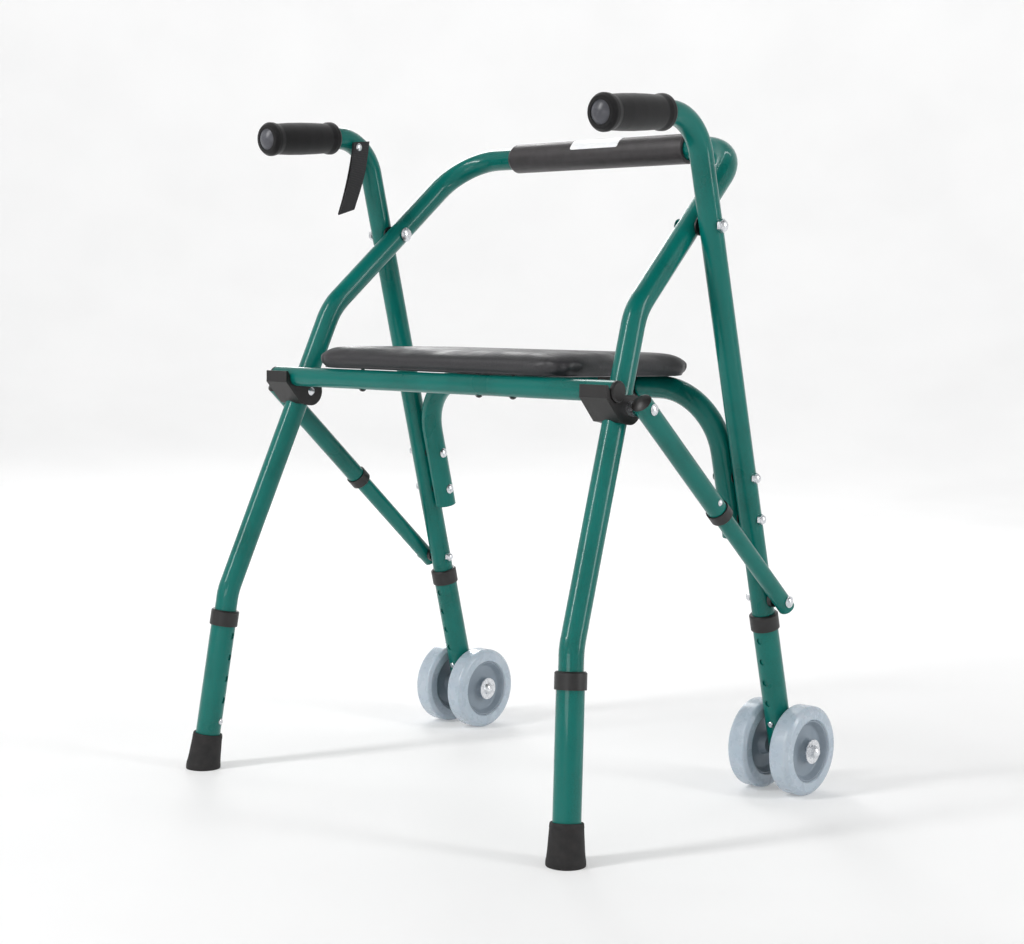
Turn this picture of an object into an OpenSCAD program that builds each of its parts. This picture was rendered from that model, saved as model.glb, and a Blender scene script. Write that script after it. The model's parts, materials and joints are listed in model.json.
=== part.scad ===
// Folding walking frame with a flip-up seat and twin front wheels.
// X runs across the frame, Y from the user towards the wheels, Z up.
// Every sub-part is drawn for the right side; the left side is its mirror image.

/* [Tubes] */
// Outside diameter of the frame tubes
tube_d = 25.4; // [25:0.1:26]
// Wall of the frame tubes
tube_wall = 1.5; // [1.2:0.1:2]
// Outside diameter of the lower legs
leg_d = 28.6; // [28.4:0.1:30]
// Wall of the lower legs
leg_wall = 1.2; // [1:0.05:1.2]
// Outside diameter of the upper strut tubes and of the seat bar
strut_d = 22.2; // [21.8:0.1:22.2]
// Outside diameter of the sliding strut tubes
slider_d = 19; // [18:0.1:19.2]
// Wall of the strut tubes
strut_wall = 1.2; // [1:0.05:1.2]

/* [Frame] */
// Distance from the middle to each wheel leg
wheel_leg_x = 251; // [250:1:252]
// Height of the handle tube's corner
handle_z = 748; // [740:1:750]
// Height of the crossbar between the foot legs
crossbar_z = 727; // [720:1:735]
// Height of the tube that the seat turns on
seat_tube_z = 458; // [456:1:460]
// Length of each foam grip
grip_l = 103; // [90:1:106]
// Diameter of each foam grip
grip_d = 39; // [36:1:42]
// Length of the sleeve on the crossbar
sleeve_l = 272; // [200:2:280]

/* [Seat] */
// Width of the seat
seat_w = 392; // [370:2:396]
// Depth of the seat from front to rear
seat_depth = 236; // [225:1:238]
// Height of the seat's sides
seat_side = 19; // [16:1:22]
// Radius of the seat's corners
seat_corner = 36; // [30:1:50]

/* [Wheels and feet] */
// Wheel diameter
wheel_d = 101.6; // [98:0.2:104]
// Width of one wheel
wheel_w = 26; // [22:1:26]
// Distance from the leg's middle to each wheel's middle
wheel_gap = 28; // [28:0.5:30]
// Height of the rubber tips
tip_h = 42; // [38:1:44]
// Diameter of a rubber tip at the floor
tip_d = 40; // [37:0.5:41]

/* [Leg adjustment] */
// Number of height holes in each lower leg
holes = 5; // [3:1:5]
// Distance between two height holes
hole_pitch = 25.4; // [20:0.1:25.4]

/* [Hidden] */
$fn = 64;

// Colours
frame_green = "#0f6b58";
black_plastic = "#34322f";
foam_black = "#2b2b2d";
zinc = "#c4c8cc";
tyre_grey = "#98a6b1";
hub_grey = "#6a7078";

// Clearances
run_gap = 0.05;
bend_lap = 1;
bend_swell = 0.1;
skirt_gap = 0.1;
overrun = 1;

// Corners of the foot frame's centre line, with Y counted from the foot tips
tip_point = [281, 0, 0];
knee = [264, 22, 209];
shoulder = [232, 150, 541];
crossbar_end = [212, 354.5, crossbar_z];
knee_r = 60;
shoulder_r = 70;
corner_r = 60;

// Centre line of the wheel leg and handle
axle_y = 410;
axle = [wheel_leg_x, axle_y, wheel_d / 2];
handle_corner = [wheel_leg_x, 218, handle_z];
handle_end = [wheel_leg_x, 64, handle_z - 14.5];
handle_r = 54;
leg_slope = (axle.y - handle_corner.y) / (handle_corner.z - axle.z);
function leg_y(z) = handle_corner.y + leg_slope * (handle_corner.z - z);

// The model's origin lies midway between the rearmost and foremost points of the frame
y_middle = (axle_y + wheel_d / 2 - tip_d / 2) / 2;

// Main pivot
pivot_z = 632;
pivot = [wheel_leg_x, leg_y(pivot_z), pivot_z];
pivot_r = 4;
foot_x_at_pivot = 222.2;

// Seat support tube
support_x = wheel_leg_x - tube_d - 1;
support_end_z = 295;
support_r = 72;
support_bolt_z = [362, 316];
seat_axis_y = leg_y(seat_tube_z);

// Seat
seat_rear = 78;
seat_under = seat_tube_z + tube_d / 2 + 0.4;
board_inset = 6;
board_t = 8;
crown = 5;
bar_y = 90;
bar_z = seat_tube_z + 1.5;
bar_half = 258;
plug_head = 4;
seat_screw_x = [-112, 69, 118];
clip_x = 110;
clip_w = 30;

// Struts and the brackets that carry them
strut_x = 278.5;
strut_top = [strut_x, 112, 442];
strut_bottom_z = 225;
strut_bottom = [strut_x, leg_y(strut_bottom_z), strut_bottom_z];
strut_upper_l = 172;
strut_collar_l = 14;
slider_start = 138;
strut_end = 12;
stop_at = 152;
rivet_r = 3;
bracket_in = 223.5;
bracket_out = 259;

// Lower legs, measured down each leg's line
foot_collar_top = 22.5;
wheel_collar_top = 560;
collar_l = 18;
collar_lip = 4;
collar_d = 32.5;
first_hole = 11;
below_button = 12;
hole_r = 3.75;
button_r = 3.5;
foot_hole_turn = 200;
wheel_hole_turn = 90;
axle_r = 4;
leg_below_axle = 18;
button_drop = collar_l + first_hole + (holes - 1) * hole_pitch;

function unit(v) = v / norm(v);
function flip(p) = [-p.x, p.y, p.z];
function turn(a, b, c) = acos(unit(b - a) * unit(c - b));
function setback(a, b, c, r) = r * tan(turn(a, b, c) / 2);

// ---------- helpers ----------

// Moves the drawing frame to the model's origin.
module placed() {
    translate([0, -y_middle, 0])
        children();
}

module left() {
    placed()
        mirror([1, 0, 0])
            children();
}

module both() {
    children();
    mirror([1, 0, 0])
        children();
}

// Puts the children's origin on p with their Z axis towards q.
// Their X axis stays as close to the frame's X axis as it can, or to Z on a line along X.
module aim(p, q) {
    z = unit(q - p);
    y = unit(cross(z, abs(z.x) > 0.9 ? [0, 0, 1] : [1, 0, 0]));
    x = cross(y, z);
    multmatrix([[x.x, y.x, z.x, p.x], [x.y, y.y, z.y, p.y], [x.z, y.z, z.z, p.z], [0, 0, 0, 1]])
        children();
}

// Turns the children's Z axis to the frame's X axis, starting at point p.
module across(p) {
    translate(p)
        rotate([0, 90, 0])
            children();
}

// Extrudes an outline given in Y and Z from x0 to x1.
module side_profile(x0, x1) {
    translate([x0, 0, 0])
        rotate([90, 0, 90])
            linear_extrude(x1 - x0)
                children();
}

module ring(od, id) {
    difference() {
        circle(d = od);
        circle(d = id);
    }
}

module pipe(l, od, id) {
    linear_extrude(l)
        ring(od, id);
}

// One bend of a tube at corner b, on the way from a to c.
module bend(a, b, c, r, od, id, from = 0, to = 1) {
    u = unit(b - a);
    n = unit(cross(u, unit(c - b)));
    inward = cross(n, u);
    centre = b - u * setback(a, b, c, r) + inward * r;
    x = -inward;
    angle = turn(a, b, c);
    multmatrix([[x.x, u.x, n.x, centre.x], [x.y, u.y, n.y, centre.y], [x.z, u.z, n.z, centre.z], [0, 0, 0, 1]])
        rotate([0, 0, angle * from])
            rotate_extrude(angle = angle * (to - from), $fn = 120)
                translate([r, 0])
                    ring(od, id);
}

// A tube through the points of path, with a bend of radius radii[i] at each inner point.
// Each straight reaches a little way into its bends, which have a slightly thicker wall.
module bent_tube(path, radii, od, id) {
    last = len(path) - 1;
    for (i = [0 : last - 1]) {
        p = path[i];
        q = path[i + 1];
        cut_p = i == 0 ? 0 : setback(path[i - 1], p, q, radii[i - 1]) - bend_lap;
        cut_q = i == last - 1 ? 0 : setback(p, q, path[i + 2], radii[i]) - bend_lap;
        aim(p + unit(q - p) * cut_p, q)
            pipe(norm(q - p) - cut_p - cut_q, od, id);
        if (i < last - 1)
            bend(p, q, path[i + 2], radii[i], od + 2 * bend_swell, id - 2 * bend_swell);
    }
}

// A low round screw head that stands on z = 0.
module pan_head(d, h) {
    r = (d * d / 4 + h * h) / (2 * h);
    intersection() {
        cylinder(d = d, h = h);
        translate([0, 0, h - r])
            sphere(r = r);
    }
}

// A hexagon nut with a domed cap that stands on z = 0.
module cap_nut(d, h) {
    cylinder(d = d, h = h * 0.5, $fn = 6);
    intersection() {
        translate([0, 0, h * 0.5])
            cylinder(d = d * 0.8, h = h * 0.5);
        translate([0, 0, h - d * 0.5])
            sphere(d = d);
    }
}

// A round bar turned about Z with a small chamfer at its top edge.
module chamfered(d, h, c) {
    cylinder(d = d, h = h - c);
    translate([0, 0, h - c])
        cylinder(d1 = d, d2 = d - 2 * c, h = c);
}

// A hole drilled outwards from the tube's middle, on the side given by the angle.
module radial_hole(angle, z) {
    translate([0, 0, z])
        rotate([0, 0, angle])
            rotate([0, 90, 0])
                cylinder(r = hole_r, h = leg_d);
}

// ---------- wheel frame ----------

handle_path = [axle, handle_corner, handle_end];

module handle_tube() {
    inner_end = handle_corner
        + unit(axle - handle_corner) * (wheel_collar_top + button_drop + below_button);
    color(frame_green)
    difference() {
        bent_tube([inner_end, handle_corner, handle_end], [handle_r], tube_d, tube_d - 2 * tube_wall);
        across([wheel_leg_x - tube_d, pivot.y, pivot.z])
            cylinder(r = pivot_r + run_gap, h = 2 * tube_d);
        across([wheel_leg_x - tube_d, strut_bottom.y, strut_bottom.z])
            cylinder(r = rivet_r + run_gap, h = 2 * tube_d);
        for (z = support_bolt_z)
            across([wheel_leg_x - tube_d, leg_y(z), z])
                cylinder(r = rivet_r + run_gap, h = 2 * tube_d);
        aim(handle_corner, axle)
            radial_hole(wheel_hole_turn, wheel_collar_top + button_drop);
    }
}

module seat_support_tube() {
    low = [support_x, leg_y(support_end_z), support_end_z];
    top = [support_x, seat_axis_y, seat_tube_z];
    color(frame_green)
    placed()
    difference() {
        bent_tube([low, top, flip(top), flip(low)], [support_r, support_r],
                  tube_d, tube_d - 2 * tube_wall);
        both()
            for (z = support_bolt_z)
                across([support_x - tube_d, leg_y(z), z])
                    cylinder(r = rivet_r + run_gap, h = 2 * tube_d);
    }
}

// Foam grip with a raised ring at each end and a slightly fuller middle.
module grip() {
    end_ring = 7;
    waist = 1.2;
    color(foam_black)
    aim(handle_end, handle_corner)
        rotate_extrude()
            difference() {
                union() {
                    square([grip_d / 2 - waist, grip_l]);
                    translate([0, 1])
                        square([grip_d / 2, end_ring]);
                    translate([0, grip_l - end_ring - 1])
                        square([grip_d / 2, end_ring]);
                    translate([0, grip_l * 0.3])
                        square([grip_d / 2 - waist / 2, grip_l * 0.4]);
                }
                translate([0, -overrun])
                    square([tube_d / 2 + run_gap, grip_l + 2 * overrun]);
            }
}

module grip_plugs() {
    color("#55565a")
    placed()
    both()
        aim(handle_end, handle_end - (handle_corner - handle_end)) {
            translate([0, 0, run_gap])
                pan_head(tube_d - 1, 5);
            translate([0, 0, -12])
                cylinder(d = tube_d - 2 * tube_wall - 0.2, h = 12 + run_gap);
        }
}

// A bolt across the frame: a pan head at x = 0, a shank, and a cap nut beyond the grip length.
module cross_bolt(r, grip, head_d, head_h, nut_d, nut_h) {
    mirror([0, 0, 1])
        pan_head(head_d, head_h);
    cylinder(r = r, h = grip);
    translate([0, 0, grip])
        cap_nut(nut_d, nut_h);
}

module seat_tube_bolts() {
    inner = support_x - tube_d / 2 - 0.1;
    color(zinc)
    placed()
    both()
        for (z = support_bolt_z)
            across([inner, leg_y(z), z])
                cross_bolt(rivet_r, wheel_leg_x + tube_d / 2 + 0.1 - inner, 12, 3, 12, 7);
}

module seat_tube_spacers() {
    color(black_plastic)
    placed()
    both()
        for (z = support_bolt_z)
            across([support_x + tube_d / 2 + run_gap, leg_y(z), z])
                linear_extrude(1 - 2 * run_gap)
                    ring(14, 2 * (rivet_r + run_gap));
}

// Spacers between the two frames at the main pivot, and between the wheel legs and the struts.
module pivot_spacers() {
    color(black_plastic)
    placed()
    both() {
        across([236.2, pivot.y, pivot.z])
            linear_extrude(wheel_leg_x - tube_d / 2 - 236.2 - run_gap)
                ring(20, 2 * (pivot_r + run_gap));
        across([wheel_leg_x + tube_d / 2 + run_gap, strut_bottom.y, strut_bottom.z])
            linear_extrude(strut_x - slider_d / 2 - wheel_leg_x - tube_d / 2 - 0.4)
                ring(16, 2 * (rivet_r + run_gap));
    }
}

module pivot_bolts() {
    inner = foot_x_at_pivot - tube_d / 2 - 1.2;
    color(zinc)
    placed()
    both()
        across([inner, pivot.y, pivot.z])
            cross_bolt(pivot_r, wheel_leg_x + tube_d / 2 + 0.1 - inner, 17, 3.5, 15, 8);
}

// Shank and inner nut of the bolt that carries each strut's lower end.
module strut_pivot_bolts() {
    inner = wheel_leg_x - tube_d / 2 - 0.1;
    color(zinc)
    placed()
    both() {
        across([inner, strut_bottom.y, strut_bottom.z]) {
            cylinder(r = rivet_r, h = strut_x - slider_d / 2 - inner - 0.35);
            mirror([0, 0, 1])
                cap_nut(11, 7);
        }
    }
}

// Webbing tab, folded double, riveted to the inner side of the left handle bend.
strap_t = 1.8;
strap_x = wheel_leg_x - tube_d / 2 - 0.1;
strap_rivet_at = [strap_x, 194, 734];
strap_outline = [
    [187, 743], [205, 743], [211, 735], [201, 696], [190, 652], [163, 658], [175, 697]
];

module hand_strap() {
    color("#1d1d1f")
    left()
    difference() {
        translate([strap_x - 2 * strap_t, 0, 0])
            rotate([90, 0, 90])
                linear_extrude(2 * strap_t)
                    polygon(strap_outline);
        translate(strap_rivet_at - [3 * strap_t, 0, 0])
            rotate([0, 90, 0])
                cylinder(r = 2.5, h = 4 * strap_t);
    }
}

module strap_rivet() {
    color(zinc)
    left()
        translate(strap_rivet_at - [2 * strap_t + 0.1, 0, 0])
            rotate([0, 90, 0]) {
                cylinder(r = 2.4, h = 2 * strap_t + 0.7);
                mirror([0, 0, 1])
                    pan_head(9, 1.8);
            }
}

// ---------- foot frame ----------

module foot_frame() {
    inner_end = knee + unit(tip_point - knee) * (foot_collar_top + button_drop + below_button);
    color(frame_green)
    placed()
    difference() {
        both()
            bent_tube([inner_end, knee, shoulder, crossbar_end, [0, crossbar_end.y, crossbar_z]],
                      [knee_r, shoulder_r, corner_r], tube_d, tube_d - 2 * tube_wall);
        both() {
            across([foot_x_at_pivot - tube_d, pivot.y, pivot.z])
                cylinder(r = pivot_r + run_gap, h = 2 * tube_d);
            across([bracket_in - tube_d, strut_top.y, strut_top.z])
                cylinder(r = rivet_r + run_gap, h = 3 * tube_d);
            aim(knee, tip_point)
                radial_hole(foot_hole_turn, foot_collar_top + button_drop);
        }
    }
}

sleeve_d = 34.5;
sleeve_shift = 5;
sleeve_round = 5;

// Soft sleeve on the crossbar with rounded ends.
module crossbar_sleeve() {
    color("#454347")
    placed()
    translate([sleeve_shift - sleeve_l / 2, crossbar_end.y, crossbar_z])
        rotate([0, 90, 0])
            rotate_extrude()
                difference() {
                    union() {
                        translate([0, sleeve_round])
                            square([sleeve_d / 2, sleeve_l - 2 * sleeve_round]);
                        square([sleeve_d / 2 - sleeve_round, sleeve_l]);
                        for (z = [sleeve_round, sleeve_l - sleeve_round])
                            translate([sleeve_d / 2 - sleeve_round, z])
                                circle(r = sleeve_round);
                    }
                    translate([-sleeve_d, -overrun])
                        square([sleeve_d + tube_d / 2 + run_gap, sleeve_l + 2 * overrun]);
                }
}

// Block on the foot leg with an open hook that the seat bar drops into.
hook_r = strut_d / 2 + 0.5;
lip_top = 466;

module bracket() {
    lip_lean = 3;
    color(black_plastic)
    difference() {
        side_profile(bracket_in, bracket_out)
            difference() {
                union() {
                    translate([strut_top.y, strut_top.z])
                        circle(r = 16.7);
                    polygon([
                        [73, lip_top], [73, 453], [96, 428], [strut_top.y, 425.5],
                        [120, 455], [bar_y + hook_r - 1, 455], [bar_y + hook_r - 1, bar_z],
                        [bar_y - hook_r, bar_z], [bar_y - hook_r - lip_lean, lip_top]
                    ]);
                }
                translate([bar_y, bar_z])
                    circle(r = hook_r);
                translate([bar_y + hook_r - 4, 455.5])
                    square(60);
            }
        aim(knee, shoulder)
            cylinder(d = tube_d + 0.2, h = 400);
        across([bracket_in - 10, strut_top.y, strut_top.z])
            cylinder(r = rivet_r + run_gap, h = 60);
    }
}

// Boss and rivet that hold the bracket on the leg and carry the strut's upper end.
module strut_top_rivets() {
    strut_out = strut_x + strut_d / 2 + 0.1;
    color(zinc)
    placed()
    both() {
        across([bracket_in - 0.1, strut_top.y, strut_top.z]) {
            mirror([0, 0, 1])
                pan_head(10, 2.5);
            cylinder(r = rivet_r, h = strut_out - bracket_in + 0.1);
        }
        across([bracket_out + run_gap, strut_top.y, strut_top.z])
            cylinder(r = 7.5, h = strut_x - strut_d / 2 - bracket_out - 0.4);
        across([strut_out, strut_top.y, strut_top.z])
            pan_head(12, 2.5);
    }
}

// ---------- seat ----------

// A plate with rounded corners, centred across the frame, from y0 forwards.
module rounded_plate(w, depth, r, t) {
    linear_extrude(t) {
        translate([-w / 2 + r, 0])
            square([w - 2 * r, depth]);
        translate([-w / 2, r])
            square([w, depth - 2 * r]);
        for (x = [-w / 2 + r, w / 2 - r], y = [r, depth - r])
            translate([x, y])
                circle(r = r);
    }
}

module seat_plate(inset, z, t) {
    translate([0, seat_rear + inset, z])
        rounded_plate(seat_w - 2 * inset, seat_depth - 2 * inset, seat_corner - inset, t);
}

module seat_cushion() {
    color("#333134")
    placed()
    difference() {
        hull() {
            seat_plate(1.5, seat_under, 1, $fn = 32);
            seat_plate(0, seat_under + 3, seat_side - 6, $fn = 32);
            seat_plate(3, seat_under + seat_side - 1, 1, $fn = 32);
            seat_plate(22, seat_under + seat_side + crown - 1, 1, $fn = 32);
        }
        seat_plate(board_inset - 0.2, seat_under - overrun, board_t + overrun + 0.2);
    }
}

module seat_board() {
    color("#8a6f4d")
    placed()
    difference() {
        seat_plate(board_inset, seat_under, board_t);
        for (x = seat_screw_x)
            translate([x, bar_y, seat_under - overrun])
                cylinder(r = 2.2, h = 8);
    }
}

module seat_bar() {
    color(frame_green)
    placed()
    difference() {
        across([-bar_half, bar_y, bar_z])
            pipe(2 * bar_half, strut_d, strut_d - 2 * strut_wall);
        for (x = seat_screw_x)
            translate([x, bar_y, bar_z - strut_d])
                cylinder(r = 2.2, h = 2 * strut_d);
    }
}

module seat_bar_plugs() {
    color(black_plastic)
    placed()
    both()
        across([bar_half + run_gap, bar_y, bar_z]) {
            chamfered(strut_d, plug_head, 1.5);
            translate([0, 0, -14])
                cylinder(d = strut_d - 2 * strut_wall - 0.2, h = 14);
        }
}

module seat_screws() {
    color(zinc)
    placed()
    for (x = seat_screw_x)
        translate([x, bar_y, bar_z - strut_d / 2 - 0.1]) {
            mirror([0, 0, 1])
                pan_head(8, 2.4);
            cylinder(r = 2, h = strut_d + 6);
        }
}

// Plastic clips under the board that turn round the seat support tube.
module seat_clips() {
    clip_bore = tube_d / 2 + run_gap;
    clip_out = 15.7;
    top = seat_under - seat_tube_z - run_gap;
    color(black_plastic)
    placed()
    both()
        side_profile(clip_x - clip_w / 2, clip_x + clip_w / 2)
            translate([seat_axis_y, seat_tube_z])
                difference() {
                    union() {
                        circle(r = clip_out);
                        translate([-42, 5])
                            square([32, top - 5]);
                    }
                    circle(r = clip_bore);
                    translate([-9, 9])
                        square([40, 20]);
                }
}

// ---------- struts ----------

module strut_axis() {
    aim(strut_top, strut_bottom)
        children();
}

// A hole across a strut at distance z along it.
module strut_hole(r, z) {
    translate([-strut_d, 0, z])
        rotate([0, 90, 0])
            cylinder(r = r, h = 2 * strut_d);
}

module strut_upper_tube() {
    color(frame_green)
    strut_axis()
        difference() {
            translate([0, 0, -10])
                pipe(strut_upper_l + 10, strut_d, strut_d - 2 * strut_wall);
            strut_hole(rivet_r + run_gap, 0);
            translate([strut_d / 2 - 4, 0, stop_at])
                rotate([0, 90, 0])
                    cylinder(r = 2.1, h = 6);
        }
}

module strut_plug() {
    color(black_plastic)
    strut_axis()
        translate([0, 0, -10 - run_gap])
            mirror([0, 0, 1])
                pan_head(strut_d, 4);
}

module strut_collar() {
    lip = 6;
    color(black_plastic)
    strut_axis()
        translate([0, 0, strut_upper_l + lip - strut_collar_l])
            difference() {
                chamfered(25.5, strut_collar_l, 1.5);
                translate([0, 0, -overrun])
                    cylinder(d = strut_d + skirt_gap, h = strut_collar_l - lip + overrun + run_gap);
                translate([0, 0, -overrun])
                    cylinder(r = slider_d / 2 + run_gap, h = strut_collar_l + 2 * overrun);
            }
}

// Small rivet that stops the sliding tube inside the upper one.
module strut_stop() {
    color(zinc)
    strut_axis()
        translate([strut_d / 2 + run_gap, 0, stop_at])
            rotate([0, 90, 0]) {
                pan_head(7, 1.8);
                translate([0, 0, -1.1])
                    cylinder(r = 2, h = 1.2);
            }
}

module strut_lower_tube() {
    strut_l = norm(strut_bottom - strut_top);
    color(frame_green)
    strut_axis()
        difference() {
            translate([0, 0, slider_start])
                pipe(strut_l + strut_end - slider_start, slider_d, slider_d - 2 * strut_wall);
            strut_hole(rivet_r + run_gap, strut_l);
        }
}

// Outer head and stub of the strut's lower bolt, with a washer under the head.
module strut_head() {
    color(zinc)
    across([strut_x - slider_d / 2 + 0.1, strut_bottom.y, strut_bottom.z]) {
        cylinder(r = rivet_r, h = slider_d);
        translate([0, 0, slider_d])
            cylinder(d = 13, h = 1);
        translate([0, 0, slider_d + 1])
            pan_head(11, 3);
    }
}

// ---------- lower legs ----------

module leg_tube(start, end, top, hole_turn) {
    difference() {
        translate([0, 0, start])
            pipe(end - start, leg_d, leg_d - 2 * leg_wall);
        for (i = [0 : holes - 1])
            radial_hole(hole_turn, top + collar_l + first_hole + i * hole_pitch);
    }
}

// Bush on top of a lower leg; its lip runs on the frame tube and its skirt holds the leg.
module leg_collar(top) {
    translate([0, 0, top + collar_l])
        mirror([0, 0, 1])
            difference() {
                chamfered(collar_d, collar_l, 1.5);
                translate([0, 0, -overrun])
                    cylinder(d = leg_d + skirt_gap, h = collar_l - collar_lip + overrun);
                translate([0, 0, -overrun])
                    cylinder(r = tube_d / 2 + run_gap, h = collar_l + 2 * overrun);
            }
}

module foot_leg_tube() {
    leg_l = norm(tip_point - knee);
    color(frame_green)
    aim(knee, tip_point)
        leg_tube(foot_collar_top + collar_lip, leg_l - 8, foot_collar_top, foot_hole_turn);
}

module foot_leg_collar() {
    color(black_plastic)
    aim(knee, tip_point)
        leg_collar(foot_collar_top);
}

// Rubber tip, cut flat where it stands on the floor.
module foot_tip() {
    leg_l = norm(tip_point - knee);
    tip_top_d = 34;
    color("#222222")
    difference() {
        intersection() {
            aim(tip_point, knee)
                translate([0, 0, -8])
                    cylinder(d1 = tip_d + 1.2, d2 = tip_top_d, h = tip_h + 8);
            translate([tip_point.x - 50, -50, 0])
                cube(100);
        }
        aim(tip_point, knee)
            translate([0, 0, 8 - run_gap])
                cylinder(d = leg_d + skirt_gap, h = tip_h);
    }
}

module wheel_leg_tube() {
    axle_at = norm(axle - handle_corner);
    color(frame_green)
    difference() {
        aim(handle_corner, axle)
            leg_tube(wheel_collar_top + collar_lip, axle_at + leg_below_axle,
                     wheel_collar_top, wheel_hole_turn);
        across([wheel_leg_x - leg_d, axle.y, axle.z])
            cylinder(r = axle_r + run_gap, h = 2 * leg_d);
    }
}

module wheel_leg_collar() {
    color(black_plastic)
    aim(handle_corner, axle)
        leg_collar(wheel_collar_top);
}

// Bolt through both wheels, with a washer at each end and a cap nut outside.
washer_d = 27.5;
washer_t = 1.6;
washer_gap = 0.4;

module wheel_axle() {
    half = wheel_gap + wheel_w / 2 + washer_gap;
    color(zinc)
    across([wheel_leg_x - half, axle.y, axle.z]) {
        cylinder(r = axle_r, h = 2 * half);
        for (z = [-washer_t, 2 * half])
            translate([0, 0, z])
                cylinder(d = washer_d, h = washer_t);
        translate([0, 0, -washer_t])
            mirror([0, 0, 1])
                pan_head(15, 5);
        translate([0, 0, 2 * half + washer_t])
            cap_nut(15, 8);
    }
}

// Spring clip inside a frame tube; its button reaches out through the lowest leg hole.
module snap_clip(z, hole_turn) {
    strip_w = 8;
    reach = tube_d / 2 - tube_wall - 0.8;
    strip_t = 0.8;
    color(zinc)
    translate([0, 0, z])
        rotate([0, 0, hole_turn]) {
            translate([0, strip_w / 2, 0])
                rotate([90, 0, 0])
                    linear_extrude(strip_w)
                        polygon([
                            [reach, 8], [reach, -8], [0, -46], [-reach, -8], [-reach, 8],
                            [strip_t - reach, 8], [strip_t - reach, -8], [0, -43],
                            [reach - strip_t, -8], [reach - strip_t, 8]
                        ]);
            translate([reach - strip_t, 0, 0])
                rotate([0, 90, 0])
                    chamfered(2 * button_r, leg_d / 2 + 1.7 - reach + strip_t, 0.8);
        }
}

module snap_clip_foot() {
    aim(knee, tip_point)
        snap_clip(foot_collar_top + button_drop, foot_hole_turn);
}

module snap_clip_wheel() {
    aim(handle_corner, axle)
        snap_clip(wheel_collar_top + button_drop, wheel_hole_turn);
}

// ---------- wheels ----------

rim_r = 35;
rim_t = 3.5;
dish = 8;
boss_r = 11;
tyre_round = 5;

// Puts a wheel drawn about Z, with its outer face up, on the axle; side is 1 outside, -1 inside.
module on_axle(side) {
    across([wheel_leg_x + side * wheel_gap, axle.y, axle.z])
        mirror([0, 0, side > 0 ? 0 : 1])
            children();
}

module tyre() {
    color(tyre_grey)
    rotate_extrude($fn = 128)
        difference() {
            union() {
                translate([rim_r + run_gap, -wheel_w / 2])
                    square([wheel_d / 2 - rim_r - tyre_round - run_gap, wheel_w]);
                translate([rim_r + run_gap, -wheel_w / 2 + tyre_round])
                    square([wheel_d / 2 - rim_r - run_gap, wheel_w - 2 * tyre_round]);
                for (z = [-1, 1])
                    translate([wheel_d / 2 - tyre_round, z * (wheel_w / 2 - tyre_round)])
                        circle(r = tyre_round);
            }
        }
}

module hub() {
    color(hub_grey)
    rotate_extrude()
        difference() {
            union() {
                translate([0, dish - wheel_w / 2])
                    square([rim_r, wheel_w - 2 * dish]);
                translate([rim_r - rim_t, 2 - wheel_w / 2])
                    square([rim_t, wheel_w - 4]);
                translate([0, -wheel_w / 2])
                    square([boss_r, wheel_w]);
            }
            translate([0, -wheel_w])
                square([axle_r + 0.08, 2 * wheel_w]);
        }
}

// ---------- nodes ----------

left() handle_tube();  // handle_tube_left
placed() handle_tube();  // handle_tube_right
seat_support_tube();
left() grip();  // grip_left
placed() grip();  // grip_right
grip_plugs();
seat_tube_bolts();
seat_tube_spacers();
pivot_spacers();
pivot_bolts();
strut_pivot_bolts();
hand_strap();
strap_rivet();
foot_frame();
crossbar_sleeve();
left() bracket();  // bracket_left
placed() bracket();  // bracket_right
strut_top_rivets();
seat_cushion();
seat_board();
seat_bar();
seat_bar_plugs();
seat_screws();
seat_clips();
left() strut_upper_tube();  // strut_upper_tube_left
placed() strut_upper_tube();  // strut_upper_tube_right
left() strut_plug();  // strut_plug_left
placed() strut_plug();  // strut_plug_right
left() strut_collar();  // strut_collar_left
placed() strut_collar();  // strut_collar_right
left() strut_stop();  // strut_stop_left
placed() strut_stop();  // strut_stop_right
left() strut_lower_tube();  // strut_lower_tube_left
placed() strut_lower_tube();  // strut_lower_tube_right
left() strut_head();  // strut_head_left
placed() strut_head();  // strut_head_right
left() foot_leg_tube();  // foot_leg_tube_left
placed() foot_leg_tube();  // foot_leg_tube_right
left() foot_leg_collar();  // foot_leg_collar_left
placed() foot_leg_collar();  // foot_leg_collar_right
left() foot_tip();  // foot_tip_left
placed() foot_tip();  // foot_tip_right
left() wheel_leg_tube();  // wheel_leg_tube_left
placed() wheel_leg_tube();  // wheel_leg_tube_right
left() wheel_leg_collar();  // wheel_leg_collar_left
placed() wheel_leg_collar();  // wheel_leg_collar_right
left() wheel_axle();  // wheel_axle_left
placed() wheel_axle();  // wheel_axle_right
left() on_axle(1) tyre();  // tyre_left_outer
left() on_axle(-1) tyre();  // tyre_left_inner
placed() on_axle(1) tyre();  // tyre_right_outer
placed() on_axle(-1) tyre();  // tyre_right_inner
left() on_axle(1) hub();  // hub_left_outer
left() on_axle(-1) hub();  // hub_left_inner
placed() on_axle(1) hub();  // hub_right_outer
placed() on_axle(-1) hub();  // hub_right_inner
left() snap_clip_foot();  // snap_clip_foot_left
placed() snap_clip_foot();  // snap_clip_foot_right
left() snap_clip_wheel();  // snap_clip_wheel_left
placed() snap_clip_wheel();  // snap_clip_wheel_right
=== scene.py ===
import json
from math import cos, pi, radians, sin, tan, tau

import bmesh
import bpy
from mathutils import Matrix, Vector


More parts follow.
